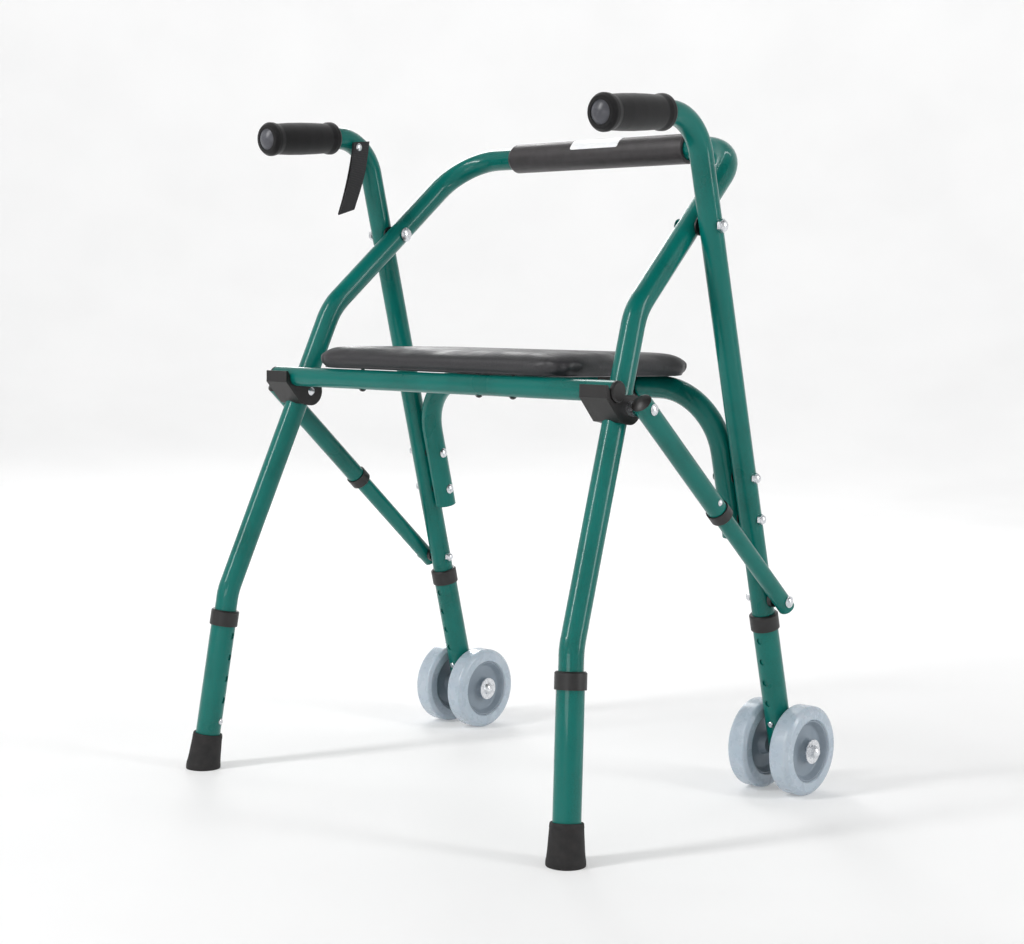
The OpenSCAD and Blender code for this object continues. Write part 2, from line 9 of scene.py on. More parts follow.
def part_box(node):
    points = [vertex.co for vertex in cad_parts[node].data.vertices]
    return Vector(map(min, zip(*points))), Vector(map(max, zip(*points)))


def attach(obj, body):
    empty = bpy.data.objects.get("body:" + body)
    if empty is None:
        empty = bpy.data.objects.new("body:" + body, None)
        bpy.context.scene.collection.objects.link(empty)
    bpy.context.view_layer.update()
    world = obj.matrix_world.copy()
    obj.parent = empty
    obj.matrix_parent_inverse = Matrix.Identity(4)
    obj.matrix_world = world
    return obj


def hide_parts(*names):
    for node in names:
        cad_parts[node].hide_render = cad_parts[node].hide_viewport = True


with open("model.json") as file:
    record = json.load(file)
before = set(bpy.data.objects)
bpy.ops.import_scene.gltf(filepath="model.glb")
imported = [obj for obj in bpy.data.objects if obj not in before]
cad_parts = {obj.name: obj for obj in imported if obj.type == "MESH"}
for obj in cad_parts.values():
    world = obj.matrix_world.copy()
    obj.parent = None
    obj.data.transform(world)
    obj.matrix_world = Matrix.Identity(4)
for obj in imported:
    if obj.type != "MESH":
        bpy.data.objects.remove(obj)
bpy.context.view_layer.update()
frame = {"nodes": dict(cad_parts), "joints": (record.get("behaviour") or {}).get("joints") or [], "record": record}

scene = bpy.context.scene
MM = 0.001
SIDES = ("left", "right")
joints = {joint["name"]: joint for joint in frame["joints"]}


# ---------- view and light ----------

CAMERA_AT = (1.456, -1.598, 0.5215)
CAMERA_YAW = 42.34
CAMERA_PITCH = -4.37
CAMERA_ROLL = 1.06
CAMERA_LENS = 66.55

# The backdrop's sizes, in metres.
FLOOR_RADIUS = 3.5
SWEEP_RADIUS = 2.5
WALL_HEIGHT = 8.0
SWEEP_STEPS = 12
BACKDROP_TURNS = 96

ROOM_LIGHT = 0.1
PAPER_GLOW = 0.21


def add_camera():
    camera = bpy.data.objects.new("camera", bpy.data.cameras.new("camera"))
    scene.collection.objects.link(camera)
    camera.data.lens = CAMERA_LENS
    camera.data.clip_end = 50
    turn = (Matrix.Rotation(radians(CAMERA_YAW), 4, "Z")
            @ Matrix.Rotation(radians(90 + CAMERA_PITCH), 4, "X")
            @ Matrix.Rotation(radians(CAMERA_ROLL), 4, "Z"))
    camera.matrix_world = Matrix.Translation(CAMERA_AT) @ turn
    scene.camera = camera


def add_softbox(name, at, target, size, watts):
    lamp = bpy.data.lights.new(name, "AREA")
    lamp.shape = "RECTANGLE"
    lamp.size, lamp.size_y = size
    lamp.energy = watts
    box = bpy.data.objects.new(name, lamp)
    scene.collection.objects.link(box)
    box.location = at
    aim = Vector(target) - Vector(at)
    box.rotation_euler = aim.to_track_quat("-Z", "Y").to_euler()


def add_backdrop():
    """A floor that sweeps up into a wall all round the object, like a cove of studio paper."""
    profile = [(0.0, 0.0), (FLOOR_RADIUS, 0.0)]
    for step in range(1, SWEEP_STEPS + 1):
        angle = pi / 2 * step / SWEEP_STEPS
        profile.append((FLOOR_RADIUS + SWEEP_RADIUS * sin(angle), SWEEP_RADIUS * (1 - cos(angle))))
    profile.append((FLOOR_RADIUS + SWEEP_RADIUS, WALL_HEIGHT))
    turns = BACKDROP_TURNS
    bm = bmesh.new()
    rows = []
    for r, z in profile:
        rows.append([bm.verts.new((r * cos(tau * t / turns), r * sin(tau * t / turns), z))
                     for t in range(turns)])
    for a, b in zip(rows, rows[1:]):
        for t in range(turns):
            bm.faces.new((a[t], b[t], b[t - turns + 1], a[t - turns + 1]))
    bmesh.ops.remove_doubles(bm, verts=bm.verts, dist=1e-6)
    mesh = bpy.data.meshes.new("studio_paper")
    bm.to_mesh(mesh)
    bm.free()
    mesh.materials.append(studio_paper())
    mesh.polygons.foreach_set("use_smooth", [True] * len(mesh.polygons))
    paper = bpy.data.objects.new("studio_paper", mesh)
    scene.collection.objects.link(paper)


def add_studio():
    """White paper, a dim even room and five soft boxes."""
    world = bpy.data.worlds.new("studio")
    world.use_nodes = True
    back = world.node_tree.nodes["Background"]
    back.inputs["Color"].default_value = (1, 1, 1, 1)
    back.inputs["Strength"].default_value = ROOM_LIGHT
    scene.world = world
    scene.view_settings.view_transform = "Standard"
    centre = (0, 0, 0.4)
    add_softbox("key_softbox", (-0.9, -2.6, 2.3), centre, (0.4, 2.0), 56)
    add_softbox("side_softbox", (3.0, 0.9, 1.5), centre, (0.6, 2.4), 34)
    add_softbox("rear_softbox", (-2.4, 1.8, 2.2), centre, (0.7, 2.2), 32)
    add_softbox("fill_softbox", (0.9, -2.9, 0.5), (0, 0, 0.35), (1.4, 0.5), 8)
    add_softbox("wall_softbox", (-0.9, 1.2, 4.2), (-3.6, 4.0, 1.6), (4.0, 0.8), 95)
    add_backdrop()


# ---------- materials ----------

def linear(colour):
    """The linear RGBA of an sRGB hex colour."""
    parts = [int(colour[i:i + 2], 16) / 255 for i in (1, 3, 5)]
    return tuple(c / 12.92 if c <= 0.04045 else ((c + 0.055) / 1.055) ** 2.4
                 for c in parts) + (1.0,)


def add_node(tree, kind, inputs=None, **settings):
    """Adds a shader node with its settings; an input is a value or another node's output."""
    made = tree.nodes.new("ShaderNode" + kind)
    for name, value in settings.items():
        setattr(made, name, value)
    for name, value in (inputs or {}).items():
        if isinstance(value, bpy.types.NodeSocket):
            tree.links.new(value, made.inputs[name])
        else:
            made.inputs[name].default_value = value
    return made


def new_material(name, **shader_values):
    """A material with its Principled shader, its tree and Object coordinates."""
    material = bpy.data.materials.new(name)
    material.use_nodes = True
    tree = material.node_tree
    shader = tree.nodes["Principled BSDF"]
    for socket, value in shader_values.items():
        shader.inputs[socket.replace("_", " ")].default_value = value
    place = add_node(tree, "TexCoord").outputs["Object"]
    return material, tree, shader, place


def speckle(tree, place, millimetres, detail=2.0):
    """Noise whose lumps are about this many millimetres across."""
    scale = 1 / (millimetres * MM)
    noise = add_node(tree, "TexNoise", {"Vector": place, "Scale": scale, "Detail": detail})
    return noise.outputs["Fac"]


def between(tree, factor, low, high, start=0.3, end=0.7):
    """A value that goes from low to high as the factor goes from start to end."""
    return add_node(tree, "MapRange", {"Value": factor, "From Min": start, "From Max": end,
                                       "To Min": low, "To Max": high}).outputs["Result"]


def blend_colours(tree, factor, first, second, start=0.3, end=0.7):
    ramp = add_node(tree, "ValToRGB", {"Fac": factor})
    ramp.color_ramp.elements[0].position = start
    ramp.color_ramp.elements[0].color = linear(first)
    ramp.color_ramp.elements[1].position = end
    ramp.color_ramp.elements[1].color = linear(second)
    return ramp.outputs["Color"]


def bump(tree, shader, height, distance_mm, strength=1.0):
    made = add_node(tree, "Bump", {"Height": height, "Distance": distance_mm * MM,
                                   "Strength": strength})
    tree.links.new(made.outputs["Normal"], shader.inputs["Normal"])


def link(tree, output, shader, socket):
    tree.links.new(output, shader.inputs[socket])


def studio_paper():
    """White seamless paper, lit so that only soft contact shadows show on it."""
    material, tree, shader, place = new_material(
        "white_studio_paper", Roughness=0.95, Specular_IOR_Level=0.0)
    shade = speckle(tree, place, 400)
    link(tree, blend_colours(tree, shade, "#dcdcdc", "#e0e0e0"), shader, "Base Color")
    shader.inputs["Emission Color"].default_value = (1, 1, 1, 1)
    shader.inputs["Emission Strength"].default_value = PAPER_GLOW
    return material


def green_enamel():
    """Baked enamel on tube: deep blue-green under a clear coat, with a faint flake and orange peel."""
    material, tree, shader, place = new_material(
        "green_enamel", Roughness=0.3, Specular_IOR_Level=0.15, Coat_Weight=0.35,
        Coat_Roughness=0.04)
    flake = speckle(tree, place, 0.9, 3)
    drift = speckle(tree, place, 60)
    tone = add_node(tree, "Math", {0: flake, 1: drift}, operation="ADD").outputs[0]
    link(tree, blend_colours(tree, tone, "#005a52", "#00675f", 0.8, 1.2), shader, "Base Color")
    link(tree, between(tree, drift, 0.26, 0.36), shader, "Roughness")
    bump(tree, shader, speckle(tree, place, 2.5, 1), 0.02, 0.5)
    return material


def bright_zinc():
    """Bright zinc plate on steel: pale and clean, with faint blotches and tumbling marks."""
    material, tree, shader, place = new_material("bright_zinc_plate", Metallic=1.0, Roughness=0.25)
    blotch = speckle(tree, place, 4)
    link(tree, blend_colours(tree, blotch, "#c9ccd0", "#e9ebee"), shader, "Base Color")
    link(tree, between(tree, blotch, 0.2, 0.38), shader, "Roughness")
    bump(tree, shader, speckle(tree, place, 0.6, 2), 0.02, 0.4)
    return material


def moulded_plastic(name, dark, light, roughness, grain_mm=0.8):
    """Injection-moulded plastic: even colour with a fine spark-eroded grain."""
    material, tree, shader, place = new_material(name, Roughness=roughness)
    grain = speckle(tree, place, grain_mm, 3)
    drift = speckle(tree, place, 25)
    link(tree, blend_colours(tree, drift, dark, light), shader, "Base Color")
    link(tree, between(tree, grain, roughness - 0.06, roughness + 0.08), shader, "Roughness")
    bump(tree, shader, grain, 0.05, 0.5)
    return material


def closed_cell_foam():
    """Closed-cell rubber foam: dull and slightly mottled, with small open pores in its skin."""
    material, tree, shader, place = new_material(
        "closed_cell_foam", Roughness=0.9, Specular_IOR_Level=0.25, Sheen_Weight=0.25,
        Sheen_Roughness=0.5)
    cells = add_node(tree, "TexVoronoi", {"Vector": place, "Scale": 1 / (1.6 * MM)})
    pores = cells.outputs["Distance"]
    mottle = speckle(tree, place, 7)
    link(tree, blend_colours(tree, mottle, "#0b0b0c", "#100f11"), shader, "Base Color")
    bump(tree, shader, between(tree, pores, 0.0, 1.0, 0.05, 0.45), 0.12, 0.6)
    return material


def vinyl_sleeve():
    """Smooth-skinned vinyl foam sleeve: satin charcoal with faint lengthwise extrusion streaks."""
    material, tree, shader, place = new_material("charcoal_vinyl_sleeve", Roughness=0.45)
    along = add_node(tree, "Mapping", {"Vector": place, "Scale": (0.04, 1.0, 1.0)}).outputs["Vector"]
    streak = speckle(tree, along, 1.5, 3)
    link(tree, blend_colours(tree, speckle(tree, place, 12), "#2a2728", "#353133"), shader, "Base Color")
    link(tree, between(tree, streak, 0.36, 0.52), shader, "Roughness")
    bump(tree, shader, streak, 0.05, 0.5)
    return material


def grained_leathercloth():
    """Vacuum-formed leathercloth: pebbled grain, a soft sheen and a few small pits."""
    material, tree, shader, place = new_material(
        "black_leathercloth", Roughness=0.45, Specular_IOR_Level=0.5)
    pebbles = add_node(tree, "TexVoronoi", {"Vector": place, "Scale": 1 / (2.2 * MM), "Randomness": 1.0},
                       feature="F1").outputs["Distance"]
    fine = speckle(tree, place, 0.7, 2)
    pits = add_node(tree, "TexVoronoi", {"Vector": place, "Scale": 1 / (9 * MM)}).outputs["Distance"]
    pit_depth = between(tree, pits, 0.0, 1.0, 0.05, 0.16)
    grain = add_node(tree, "Math", {0: pebbles, 1: fine}, operation="ADD").outputs[0]
    height = add_node(tree, "Math", {0: grain, 1: pit_depth}, operation="ADD").outputs[0]
    link(tree, blend_colours(tree, grain, "#302e33", "#222124", 0.4, 1.1), shader, "Base Color")
    link(tree, between(tree, speckle(tree, place, 30), 0.38, 0.55), shader, "Roughness")
    bump(tree, shader, height, 0.18, 0.6)
    return material


def plywood():
    """Bare birch plywood: pale lengthwise grain, unvarnished."""
    material, tree, shader, place = new_material("bare_plywood", Roughness=0.7)
    along = add_node(tree, "Mapping", {"Vector": place, "Scale": (0.08, 1.0, 1.0)}).outputs["Vector"]
    grain = speckle(tree, along, 2.5, 4)
    link(tree, blend_colours(tree, grain, "#8b6a42", "#b5915f"), shader, "Base Color")
    bump(tree, shader, grain, 0.1, 0.4)
    return material


# A wave texture repeats every tau / 20 / scale, so this is a thread every 2.2 mm.
WEAVE_SCALE = 143.23


def woven_webbing():
    """Black polypropylene webbing: a ribbed weave of flat threads about 2.2 mm apart."""
    material, tree, shader, place = new_material(
        "black_webbing", Roughness=0.75, Sheen_Weight=0.4, Sheen_Roughness=0.4)
    map_uv = add_node(tree, "UVMap", uv_map="weave").outputs["UV"]
    waves = []
    for direction in ("X", "Y"):
        wave = add_node(tree, "TexWave", {"Vector": map_uv, "Scale": WEAVE_SCALE},
                        bands_direction=direction)
        waves.append(wave.outputs["Fac"])
    weave = add_node(tree, "Math", {0: waves[0], 1: waves[1]}, operation="MULTIPLY").outputs[0]
    link(tree, blend_colours(tree, weave, "#111113", "#29282c", 0.1, 0.8), shader, "Base Color")
    bump(tree, shader, weave, 0.25, 0.7)
    return material


def solid_tyre():
    """Moulded polyurethane tread: glossy grey-blue, with soft mould flow and light scuffs."""
    material, tree, shader, place = new_material(
        "grey_polyurethane_tread", Roughness=0.28, Subsurface_Weight=0.05, Coat_Weight=0.3,
        Coat_Roughness=0.15)
    flow = speckle(tree, place, 26, 1)
    scuff = speckle(tree, place, 9, 2)
    link(tree, blend_colours(tree, flow, "#a3b1bd", "#afbbc5"), shader, "Base Color")
    link(tree, between(tree, scuff, 0.22, 0.42, 0.35, 0.75), shader, "Roughness")
    bump(tree, shader, flow, 0.1, 0.2)
    return material


def tip_rubber():
    """Moulded black rubber: matte with a bloom that greys it in soft random patches."""
    material, tree, shader, place = new_material(
        "black_moulded_rubber", Roughness=0.7, Specular_IOR_Level=0.4)
    bloom = speckle(tree, place, 9, 4)
    link(tree, blend_colours(tree, bloom, "#151415", "#232121"), shader, "Base Color")
    bump(tree, shader, speckle(tree, place, 0.8, 2), 0.08, 0.5)
    return material


def label_film():
    """White polyester label: flat and slightly glossy, with nothing printed on it."""
    material, tree, shader, place = new_material("white_label_film", Roughness=0.35)
    link(tree, blend_colours(tree, speckle(tree, place, 10), "#eceef0", "#f6f7f8"), shader, "Base Color")
    return material


FINISHES = {
    "green_paint": green_enamel(),
    "bright_zinc": bright_zinc(),
    "black_plastic": moulded_plastic("black_moulded_nylon", "#121111", "#1b1919", 0.42),
    "plug_grey": moulded_plastic("grey_moulded_plug", "#3c3d43", "#53545b", 0.35),
    "grip_foam": closed_cell_foam(),
    "sleeve": vinyl_sleeve(),
    "seat_cover": grained_leathercloth(),
    "board": plywood(),
    "webbing": woven_webbing(),
    "wheel_tread": solid_tyre(),
    "wheel_hub": moulded_plastic("grey_moulded_hub", "#7c8893", "#88949f", 0.38),
    "tip_rubber": tip_rubber(),
}


def finish_cad_nodes():
    """Gives every CAD node the finish of its slot in the record."""
    slots = {part["node"]: part["material_slot"] for part in frame["record"]["subparts"]}
    for name, node in frame["nodes"].items():
        node.data.materials.clear()
        node.data.materials.append(FINISHES[slots[name]])
    # The seat screws show as dark heads, whatever their slot says.
    frame["nodes"]["seat_screws"].data.materials[0] = FINISHES["black_plastic"]


# ---------- mesh helpers ----------

def settle(name, mesh, slot, body, replaced=(), smooth_degrees=35, material=None):
    """Makes a finished mesh a piece with its finish, shading, body and CAD nodes."""
    mesh.name = name
    mesh.materials.clear()
    mesh.materials.append(material or FINISHES[slot])
    mesh.polygons.foreach_set("use_smooth", [True] * len(mesh.polygons))
    mesh.set_sharp_from_angle(angle=radians(smooth_degrees))
    piece = bpy.data.objects.new(name, mesh)
    scene.collection.objects.link(piece)
    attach(piece, body)
    if replaced:
        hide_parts(*replaced)
    return piece


def rounded_outline(corners, steps=5):
    """A closed outline through (radius, height, corner radius) corners, in millimetres."""
    outline = []
    for i, (x, y, fillet) in enumerate(corners):
        here = Vector((x, y))
        if not fillet:
            outline.append(here)
            continue
        back = Vector(corners[i - 1][:2]) - here
        ahead = Vector(corners[(i + 1) % len(corners)][:2]) - here
        reach = min(fillet / tan(back.angle(ahead) / 2), back.length * 0.49, ahead.length * 0.49)
        start = here + back.normalized() * reach
        end = here + ahead.normalized() * reach
        for step in range(steps + 1):
            t = step / steps
            outline.append(start * (1 - t) ** 2 + here * 2 * t * (1 - t) + end * t * t)
    return outline


def turned_mesh(outline, place, segments=96):
    """A ring turned about local Z from a closed (radius, height) outline in millimetres."""
    bm = bmesh.new()
    rings = []
    for step in range(segments):
        angle = tau * step / segments
        rings.append([bm.verts.new((p.x * cos(angle) * MM, p.x * sin(angle) * MM, p.y * MM))
                      for p in outline])
    for a, b in zip(rings, rings[1:] + rings[:1]):
        for i, p in enumerate(outline):
            j = (i + 1) % len(outline)
            if p.x > 0 or outline[j].x > 0:
                bm.faces.new((a[i], b[i], b[j], a[j]))
    bmesh.ops.remove_doubles(bm, verts=bm.verts, dist=1e-7)
    bmesh.ops.recalc_face_normals(bm, faces=bm.faces)
    bmesh.ops.transform(bm, matrix=place, verts=bm.verts)
    mesh = bpy.data.meshes.new("turned")
    bm.to_mesh(mesh)
    bm.free()
    return mesh


def placed_along(origin, direction):
    """The matrix that puts local Z along a direction at a point."""
    turn = Vector(direction).to_track_quat("Z", "X").to_matrix().to_4x4()
    return Matrix.Translation(origin) @ turn


def middle(node):
    low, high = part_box(node)
    return (low + high) / 2


# ---------- grips, sleeve, tips and wheels ----------

# How far each handle falls for its length, then sizes in millimetres.
HANDLE_DROP = 14.5 / 154
GRIP_LENGTH = 103
GRIP_BORE = 12.8
SLEEVE_BORE = 12.8
SLEEVE_TRIM = 5


def add_grips():
    """Foam grips: a raised ring at each end, a fuller middle, and a lip round the end plug."""
    half = GRIP_LENGTH / 2
    corners = [(GRIP_BORE, -half - 0.1, 0), (12.2, -half - 0.1, 0), (12.2, -half - 1.2, 0.5),
               (16.5, -half - 0.8, 2.5), (19.5, -half + 3.5, 4), (19.3, -half + 8, 4),
               (17.8, -half + 14, 8), (18.6, -half + 32, 20), (18.8, 0, 30), (18.4, half - 32, 20),
               (17.6, half - 14, 8), (19.0, half - 9, 4), (19.2, half - 4, 4), (16.5, half, 3),
               (GRIP_BORE, half, 1)]
    for side in SIDES:
        centre = middle("grip_" + side)
        place = placed_along(centre, (0, 1, HANDLE_DROP))
        mesh = turned_mesh(rounded_outline(corners, 7), place, 128)
        grip = settle("foam_grip_" + side, mesh, "grip_foam", "wheel_frame", ["grip_" + side],
                      60)


def add_sleeve():
    """The crossbar's sleeve, open at its ends, with a blank label wrapped over its top."""
    low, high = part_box("crossbar_sleeve")
    centre = (low + high) / 2
    half = (high.x - low.x) / 2 / MM
    radius = (high.z - low.z) / 2 / MM
    bore = SLEEVE_BORE
    left = -half + SLEEVE_TRIM
    corners = [(bore, left + 1, 0.5), (radius - 3.5, left, 2), (radius, left + 5, 4),
               (radius, half - 1.2, 1.2), (radius - 1, half, 1), (bore + 0.6, half, 0.8),
               (bore, half - 3, 1)]
    mesh = turned_mesh(rounded_outline(corners), placed_along(centre, (1, 0, 0)), 128)
    settle("crossbar_vinyl_sleeve", mesh, "sleeve", "foot_frame", ["crossbar_sleeve"], 40)
    add_label(centre, radius)


LABEL_LENGTH = 72
LABEL_THICK = 0.25
LABEL_GAP = 0.05
LABEL_SHIFT = 6.5
LABEL_ARC = (18, 105)


def add_label(centre, radius):
    """A blank label film on the sleeve, with rounded corners and true thickness."""
    first, last = (radians(degrees) for degrees in LABEL_ARC)
    columns, rows = 48, 16
    bm = bmesh.new()
    grid = []
    for layer in (radius + LABEL_GAP, radius + LABEL_GAP + LABEL_THICK):
        sheet = []
        for i in range(columns + 1):
            line = []
            for j in range(rows + 1):
                across = abs(i / columns * 2 - 1)
                trim = 0.06 * max(0.0, (across - 0.94) / 0.06) ** 2
                angle = first + (last - first) * (trim + (1 - 2 * trim) * j / rows)
                x = (i / columns - 0.5) * LABEL_LENGTH * MM
                line.append(bm.verts.new((centre.x + LABEL_SHIFT * MM + x,
                                          centre.y - layer * MM * cos(angle),
                                          centre.z + layer * MM * sin(angle))))
            sheet.append(line)
        grid.append(sheet)
    for sheet in grid:
        for i in range(columns):
            for j in range(rows):
                bm.faces.new((sheet[i][j], sheet[i + 1][j], sheet[i + 1][j + 1], sheet[i][j + 1]))
    edge = ([(i, 0) for i in range(columns)] + [(columns, j) for j in range(rows)]
            + [(i, rows) for i in range(columns, 0, -1)] + [(0, j) for j in range(rows, 0, -1)])
    for (i, j), (k, m) in zip(edge, edge[1:] + edge[:1]):
        bm.faces.new((grid[0][i][j], grid[0][k][m], grid[1][k][m], grid[1][i][j]))
    bmesh.ops.recalc_face_normals(bm, faces=bm.faces)
    mesh = bpy.data.meshes.new("label")
    bm.to_mesh(mesh)
    bm.free()
    settle("blank_label", mesh, "sleeve", "foot_frame", material=label_film())


TIP_HEIGHT = 42
SOLE_Z = 0.1 * MM


def add_foot_tips():
    """Rubber tips: a tapered cup with a thick flared sole, cut flat just above the floor."""
    height = TIP_HEIGHT
    mounts = frame["record"]["mounts"]
    corners = [(14.4, 8, 0.5), (14.4, height - 1, 0.8), (16.2, height, 0.8), (17.0, height - 1.5, 1),
               (17.4, height - 5, 1), (17.2, height - 6, 0.4), (18.6, 15, 4), (19.3, 8, 2),
               (19.9, 5, 1), (20.1, 1.5, 1), (19.4, -4, 0), (0, -4, 0), (0, 8, 0)]
    for side in SIDES:
        down = Vector(joints["foot_leg_height_" + side]["axis"])
        at = next(Vector(m["pos_m"]) for m in mounts if m["name"] == "foot_face_" + side)
        mesh = turned_mesh(rounded_outline(corners), placed_along(at, -down), 96)
        bm = bmesh.new()
        bm.from_mesh(mesh)
        cut = bmesh.ops.bisect_plane(bm, geom=bm.verts[:] + bm.edges[:] + bm.faces[:],
                                     plane_co=(0, 0, SOLE_Z), plane_no=(0, 0, -1),
                                     clear_outer=True)
        rim = [e for e in cut["geom_cut"] if isinstance(e, bmesh.types.BMEdge)]
        bmesh.ops.contextual_create(bm, geom=rim)
        bmesh.ops.recalc_face_normals(bm, faces=bm.faces)
        bm.to_mesh(mesh)
        bm.free()
        settle("rubber_tip_" + side, mesh, "tip_rubber", "foot_leg_" + side,
               ["foot_tip_" + side])


HUB_RIM = 34.9


def add_wheels():
    """Solid tyres with soft shoulders, and dished hubs with a stepped rim and a coned boss."""
    tyre = [(HUB_RIM + 0.1, -11, 0.8), (36.2, -13, 1.2), (46, -13, 3), (50.8, -9.5, 4.5),
            (50.8, 9.5, 4.5), (46, 13, 3), (36.2, 13, 1.2), (HUB_RIM + 0.1, 11, 0.8)]
    hub = [(4.1, -13, 0.3), (10.5, -13, 0.8), (13.5, -5, 2.5), (29, -3.5, 3), (33.2, -10.8, 1),
           (HUB_RIM, -10.8, 0.6), (HUB_RIM, 10.8, 0.6), (33.2, 10.8, 1), (29, 3.5, 3),
           (13.5, 5, 2.5), (10.5, 13, 0.8), (4.1, 13, 0.3)]
    for side in SIDES:
        for place in ("outer", "inner"):
            name = side + "_" + place
            centre = middle("tyre_" + name)
            spin = placed_along(centre, (1, 0, 0))
            body = "wheel_" + name
            tread = turned_mesh(rounded_outline(tyre, 7), spin, 128)
            settle("tread_" + name, tread, "wheel_tread", body, ["tyre_" + name], 50)
            centre_part = turned_mesh(rounded_outline(hub), spin)
            settle("wheel_hub_" + name, centre_part, "wheel_hub", body, ["hub_" + name])


# ---------- seat ----------

SEAT_CORNER = 37
SEAT_GROWTH = (2.8, 2)
SEAT_VOXEL = 4.5
SIDE_DIP = 1.2

PRESSURE = 4
FILL_FRAMES = 20
MOST_SWELL = 4 * MM
FIXED_RIM = 1.5 * MM

# The folds at a corner: angles from its diagonal in radians, and sizes in millimetres.
GATHER_ANGLES = (0.0, 0.4)
GATHER_REACH = 0.7
GATHER_WIDTH = 0.12
GATHER_DEPTH = 3.2
SIDE_MIDDLE = 11
DIAGONAL = 1.414


def seat_ring(half_w, half_d, corner, inset, per_corner=14, per_side=20):
    """Points round a rounded rectangle, pulled in by an inset, with sides that dip a little."""
    points = []
    r = max(corner - inset * 0.6, 6)
    w, d = half_w - inset, half_d - inset
    corners = [(w - r, d - r, 0), (r - w, d - r, 90), (r - w, r - d, 180), (w - r, r - d, 270)]
    for i, (x, y, start) in enumerate(corners):
        for step in range(per_corner + 1):
            angle = radians(start + 90 * step / per_corner)
            points.append(Vector((x + r * cos(angle), y + r * sin(angle))))
        nx, ny, _ = corners[(i + 1) % 4]
        turn = radians(start + 90)
        first = Vector((x + r * cos(turn), y + r * sin(turn)))
        last = Vector((nx + r * cos(turn), ny + r * sin(turn)))
        for step in range(1, per_side):
            t = step / per_side
            dip = SIDE_DIP * sin(pi * t)
            inward = -Vector((cos(turn), sin(turn))) * dip
            points.append(first.lerp(last, t) + inward)
    return points


def seat_start_mesh(low, high):
    """The seat before it fills out: a rounded slab with a tapered underside and a low crown."""
    centre = (low + high) / 2
    half_w = (high.x - low.x) / 2 / MM + SEAT_GROWTH[0]
    half_d = (high.y - low.y) / 2 / MM + SEAT_GROWTH[1]
    # How far each layer is pulled in, and its height above the seat's underside.
    layers = [(16, 0.0), (9, 0.6), (3.5, 3.5), (0.6, 8), (0, 11.5), (1, 15), (5, 18.4),
              (14, 20.6), (34, 21.6), (60, 22.0), (88, 22.2)]
    bm = bmesh.new()
    rings = []
    for inset, z in layers:
        rings.append([bm.verts.new((centre.x + p.x * MM, centre.y + p.y * MM, low.z + z * MM))
                      for p in seat_ring(half_w, half_d, SEAT_CORNER, inset)])
    for a, b in zip(rings, rings[1:]):
        for i in range(len(a)):
            j = (i + 1) % len(a)
            bm.faces.new((a[i], a[j], b[j], b[i]))
    bm.faces.new(list(reversed(rings[0])))
    bm.faces.new(rings[-1])
    bmesh.ops.recalc_face_normals(bm, faces=bm.faces)
    mesh = bpy.data.meshes.new("seat_start")
    bm.to_mesh(mesh)
    bm.free()
    return mesh


def remeshed(mesh, voxel_mm):
    holder = bpy.data.objects.new("remesh", mesh)
    scene.collection.objects.link(holder)
    grid = holder.modifiers.new("grid", "REMESH")
    grid.mode = "VOXEL"
    grid.voxel_size = voxel_mm * MM
    result = evaluated_mesh(holder)
    bpy.data.objects.remove(holder)
    return result


def evaluated_mesh(holder):
    graph = bpy.context.evaluated_depsgraph_get()
    return bpy.data.meshes.new_from_object(holder.evaluated_get(graph))


def filled(mesh, floor_z):
    """Fills a closed cushion with air pressure, with a limit to how far any point moves."""
    rest = [v.co.copy() for v in mesh.vertices]
    holder = bpy.data.objects.new("filling", mesh)
    scene.collection.objects.link(holder)
    cloth = holder.modifiers.new("fill", "CLOTH")
    cloth.settings.use_pressure = True
    cloth.settings.uniform_pressure_force = PRESSURE
    cloth.settings.effector_weights.gravity = 0
    cloth.settings.quality = 6
    cloth.settings.tension_stiffness = 12
    cloth.settings.bending_stiffness = 1.5
    cloth.point_cache.frame_start = 1
    cloth.point_cache.frame_end = FILL_FRAMES
    for frame_number in range(1, FILL_FRAMES + 1):
        scene.frame_set(frame_number)
    result = evaluated_mesh(holder)
    bpy.data.objects.remove(holder)
    scene.frame_set(1)
    for vertex, start in zip(result.vertices, rest):
        move = vertex.co - start
        if move.length > MOST_SWELL:
            vertex.co = start + move.normalized() * MOST_SWELL
        if start.z < floor_z + FIXED_RIM:
            vertex.co = start
        vertex.co.z = max(vertex.co.z, floor_z)
    return result


def corner_gathers(mesh, low, high):
    """Three shallow upright folds in the cover round each corner of the seat."""
    side_z = low.z + SIDE_MIDDLE * MM
    for corner_x in (low.x, high.x):
        for corner_y in (low.y, high.y):
            inward = Vector((-1 if corner_x > 0 else 1, 1 if corner_y == low.y else -1, 0))
            inward.normalize()
            centre = Vector((corner_x, corner_y, 0)) + inward * SEAT_CORNER * DIAGONAL * MM
            for vertex in mesh.vertices:
                out = Vector((vertex.co.x - centre.x, vertex.co.y - centre.y, 0))
                if out.dot(inward) > 0 or out.length < SEAT_CORNER * 0.72 * MM:
                    continue
                angle = out.angle(-inward)
                if angle > GATHER_REACH:
                    continue
                fold = sum(max(0.0, 1 - abs(angle - at) / GATHER_WIDTH) for at in GATHER_ANGLES)
                height = max(0.0, 1 - abs(vertex.co.z - side_z) / (SIDE_MIDDLE * MM))
                vertex.co -= out.normalized() * GATHER_DEPTH * MM * fold * height


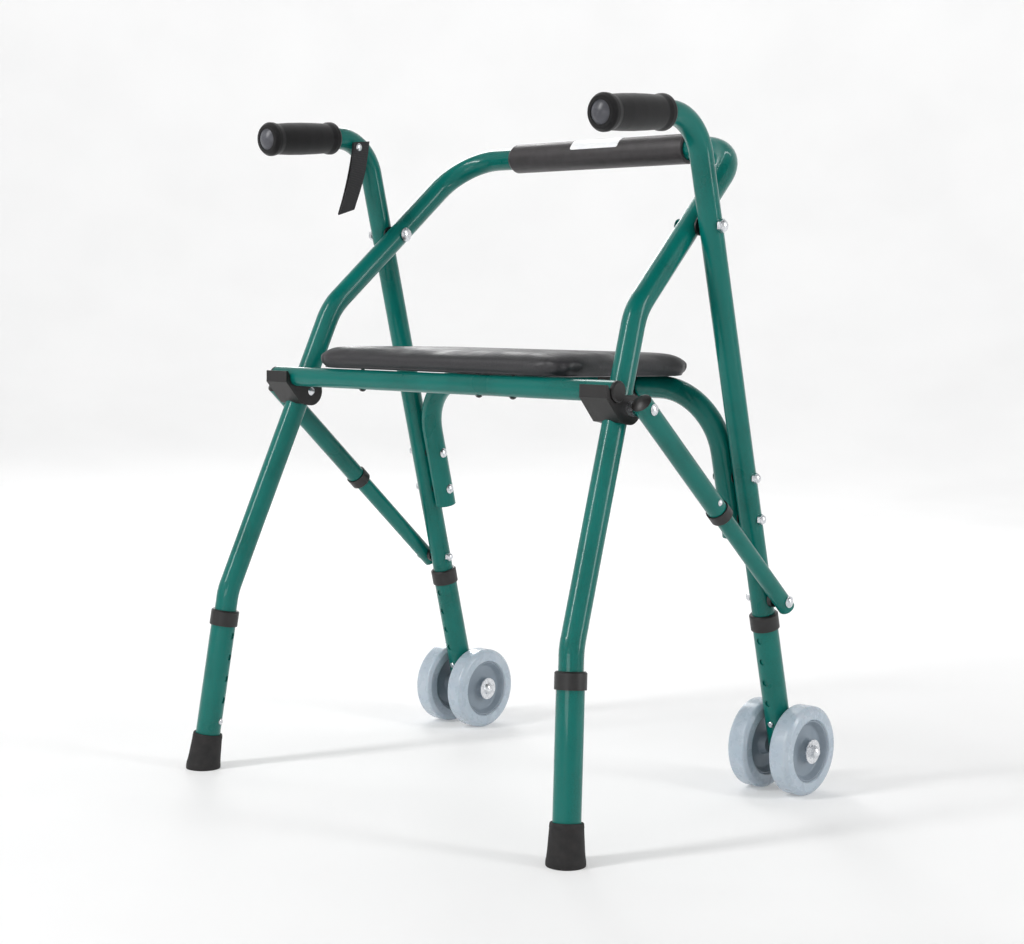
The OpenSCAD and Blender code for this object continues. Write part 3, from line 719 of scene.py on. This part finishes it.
def add_seat():
    """The seat pad: filled, gathered at its corners, smoothed, and flat underneath."""
    low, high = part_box("seat_cushion")
    mesh = remeshed(seat_start_mesh(low, high), SEAT_VOXEL)
    mesh = filled(mesh, low.z)
    corner_gathers(mesh, low, high)
    holder = bpy.data.objects.new("soften", mesh)
    scene.collection.objects.link(holder)
    relax = holder.modifiers.new("relax", "SMOOTH")
    relax.iterations = 1
    finer = holder.modifiers.new("finer", "SUBSURF")
    finer.levels = 1
    finer.render_levels = 1
    smooth = evaluated_mesh(holder)
    bpy.data.objects.remove(holder)
    for vertex in smooth.vertices:
        vertex.co.z = max(vertex.co.z, low.z)
    pad = settle("padded_seat", smooth, "seat_cover", "seat", ["seat_cushion", "seat_board"],
                 180)


# ---------- hand strap ----------

STRAP_WIDTH = 25
STRAP_THICK = 1.5
STRAP_LEAN = 17
STRAP_STEPS = 26


def strap_route():
    """The webbing's middle line, down to its fold and back up, with its width direction."""
    low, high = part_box("hand_strap")
    rivet = middle("strap_rivet")
    wall = low.x + STRAP_THICK / 2 * MM
    top = Vector((wall, rivet.y + 5 * MM, rivet.z + 7 * MM))
    route = []
    for step in range(STRAP_STEPS + 1):
        t = step / STRAP_STEPS
        lean = STRAP_LEAN * MM * (0.35 * t + 0.65 * t * t)
        point = Vector((wall, top.y - lean - 6 * MM * t, top.z - (top.z - low.z - 5 * MM) * t))
        lift = 1.3 * MM * sin(pi * min(1.0, t * 1.05)) ** 2 + 0.7 * MM * t
        route.append((point, lift, Vector((0, -0.96, -0.12 - 0.18 * t)).normalized()))
    near = [(p, w) for p, lift, w in route]
    far = [(p + Vector((STRAP_THICK * 1.12 * MM + lift, 0, 0)), w) for p, lift, w in route]
    turn = []
    last, wide = route[-1][0], route[-1][2]
    gap = (far[-1][0] - near[-1][0]) / 2
    for degrees in (30, 60, 90, 120, 150):
        angle = radians(degrees)
        below = Vector((0, -0.25, -1)) * gap.length * sin(angle)
        turn.append((last + gap * (1 - cos(angle)) + below, wide))
    return near + turn + list(reversed(far))


def add_strap():
    """A webbing tab folded double, its ends riveted to the inner side of the left handle."""
    route = strap_route()
    bm = bmesh.new()
    weave = bm.loops.layers.uv.new("weave")
    columns = 10
    half = STRAP_WIDTH / 2 * MM
    rows, runs = [], [0.0]
    for i, (here, wide) in enumerate(route):
        before, after = route[max(i - 1, 0)][0], route[min(i + 1, len(route) - 1)][0]
        normal = wide.cross((after - before).normalized()).normalized()
        faces = []
        for lift in (-STRAP_THICK / 2, STRAP_THICK / 2):
            faces.append([bm.verts.new(here + wide * half * (c / columns * 2 - 1)
                                       + normal * lift * MM) for c in range(columns + 1)])
        rows.append(faces)
        if i:
            runs.append(runs[-1] + (here - route[i - 1][0]).length)

    def face(corners):
        made = bm.faces.new([rows[i][k][c] for i, k, c in corners])
        for loop, (i, k, c) in zip(made.loops, corners):
            loop[weave].uv = (c / columns * STRAP_WIDTH * MM, runs[i])

    for i in range(len(rows) - 1):
        for c in range(columns):
            face([(i, 0, c), (i, 0, c + 1), (i + 1, 0, c + 1), (i + 1, 0, c)])
            face([(i, 1, c), (i + 1, 1, c), (i + 1, 1, c + 1), (i, 1, c + 1)])
        face([(i, 0, 0), (i + 1, 0, 0), (i + 1, 1, 0), (i, 1, 0)])
        face([(i, 0, columns), (i, 1, columns), (i + 1, 1, columns), (i + 1, 0, columns)])
    for i in (0, len(rows) - 1):
        for c in range(columns):
            face([(i, 0, c), (i, 1, c), (i, 1, c + 1), (i, 0, c + 1)])
    bmesh.ops.recalc_face_normals(bm, faces=bm.faces)
    mesh = bpy.data.meshes.new("strap")
    bm.to_mesh(mesh)
    bm.free()
    strap = settle("hand_strap_webbing", mesh, "webbing", "wheel_frame", ["hand_strap"], 50)


# ---------- the whole object ----------

add_camera()
add_studio()
finish_cad_nodes()
add_grips()
add_sleeve()
add_foot_tips()
add_wheels()
add_seat()
add_strap()
